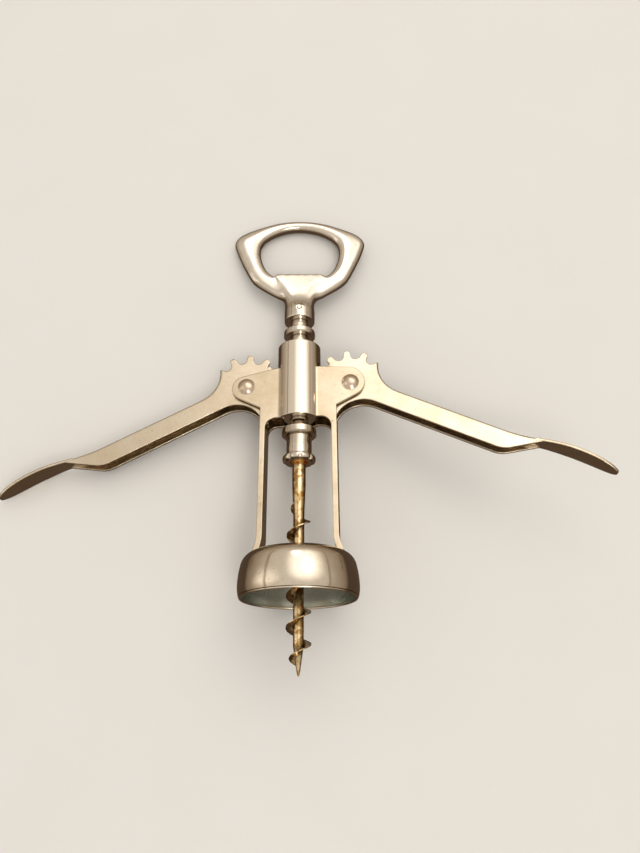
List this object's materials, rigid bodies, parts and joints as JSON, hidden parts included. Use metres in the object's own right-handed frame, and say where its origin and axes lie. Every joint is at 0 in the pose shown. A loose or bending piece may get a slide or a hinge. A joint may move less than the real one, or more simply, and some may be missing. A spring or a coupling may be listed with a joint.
{
  "type": "wing corkscrew",
  "caption": "Wing corkscrew: two geared levers raise a rack shaft with a worm out of a bell; the head is a cap opener.",
  "frame": {"origin": "centre of the bell's mouth, on the plane of its rim", "axes": "+X to the right lever, +Y from the bell's mouth along the shaft to the opener head, +Z out of the front frame half"},
  "size_m": [0.2245, 0.1862, 0.0414],
  "materials": {
    "frame_plate": "bright nickel-chrome plate on pressed steel",
    "bell_plate": "bright plate outside, dull grey-green inside",
    "lever_plate": "bright plate on folded steel",
    "rack_plate": "bright plate on turned steel",
    "head_cast": "bright plate on a zinc casting",
    "worm_steel": "drawn steel with a warm tint",
    "rivet_steel": "polished steel",
    "hidden_steel": "plain steel",
    "guide_brass": "turned brass",
    "braze_brass": "dull brazing metal with rust"
  },
  "bodies": {
    "frame": {"front_frame": "frame_plate", "back_frame": "frame_plate", "bell": "bell_plate", "left_pivot_rivet": "rivet_steel", "right_pivot_rivet": "rivet_steel", "left_pivot_bush": "hidden_steel", "right_pivot_bush": "hidden_steel", "left_front_washer": "hidden_steel", "left_back_washer": "hidden_steel", "right_front_washer": "hidden_steel", "right_back_washer": "hidden_steel"},
    "spin_guide": {"guide_bush": "guide_brass"},
    "shaft": {"rack_shaft": "rack_plate", "worm_ferrule": "rack_plate", "worm": "worm_steel", "socket_braze": "braze_brass", "opener_head": "head_cast", "head_pin": "hidden_steel"},
    "left_lever": {"left_lever": "lever_plate"},
    "right_lever": {"right_lever": "lever_plate"}
  },
  "joints": [
    {"name": "handle_spin", "type": "hinge", "parent": "frame", "child": "spin_guide", "pos_m": [0, 0.0936, 0], "axis": [0, 1, 0], "continuous": true},
    {"name": "shaft_slide", "type": "slide", "parent": "spin_guide", "child": "shaft", "axis": [0, 1, 0], "range_m": [-0.023, 0.015]},
    {"name": "left_lever_swing", "type": "hinge", "parent": "frame", "child": "left_lever", "pos_m": [-0.0198, 0.0795, 0], "axis": [0, 0, 1], "range_deg": [-95, 62]},
    {"name": "right_lever_swing", "type": "hinge", "parent": "frame", "child": "right_lever", "pos_m": [0.0198, 0.0795, 0], "axis": [0, 0, 1], "range_deg": [-62, 95]}
  ],
  "couplings": [
    {"joint": "left_lever_swing", "follows": "shaft_slide", "rad_per_m": 71.429},
    {"joint": "right_lever_swing", "follows": "shaft_slide", "rad_per_m": -71.429}
  ]
}
